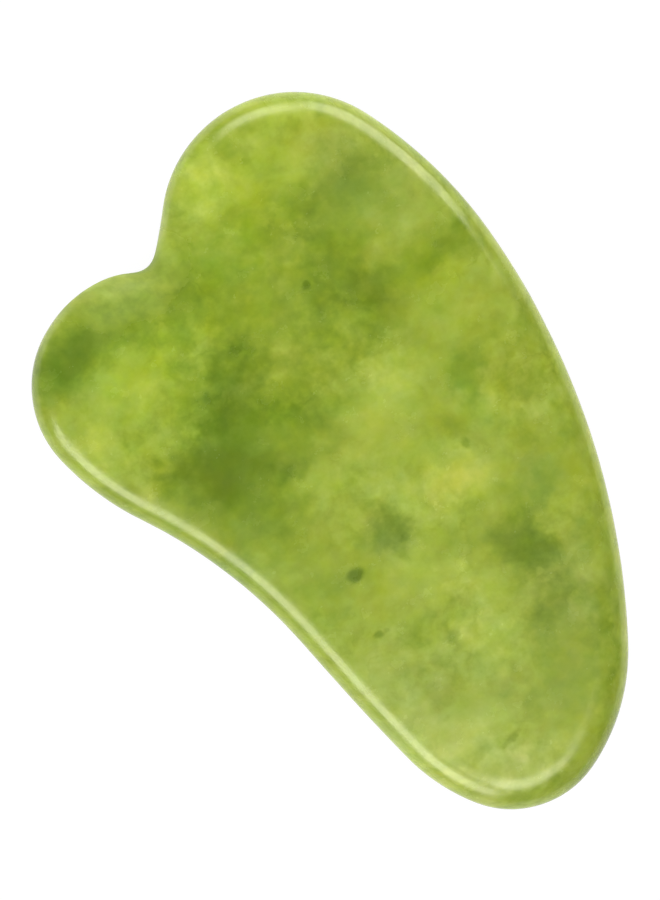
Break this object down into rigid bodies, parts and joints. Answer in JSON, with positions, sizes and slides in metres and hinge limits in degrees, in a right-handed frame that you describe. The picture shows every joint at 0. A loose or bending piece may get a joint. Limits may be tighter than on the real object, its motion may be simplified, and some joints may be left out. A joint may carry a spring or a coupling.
{
  "type": "gua sha scraper",
  "caption": "Palm-sized slab of polished jade with a notched heart-shaped head, a hollow belly, a long rounded back, a tapering round tip and a half-round rim.",
  "frame": {"origin": "centre of the outline's bounding box, on the face the stone rests on", "axes": "+Y along the stone's length towards the lobes of its head, the tip at -Y; +X towards the long bulging back, the hollow belly at -X; +Z through the thickness, away from the resting face"},
  "size_m": [0.0548, 0.083, 0.006],
  "materials": {
    "jade": "polished translucent yellow-green jade, mottled with darker olive clouds, paler patches and a few small dark specks"
  },
  "bodies": {
    "root": {"stone": "jade"}
  },
  "joints": []
}
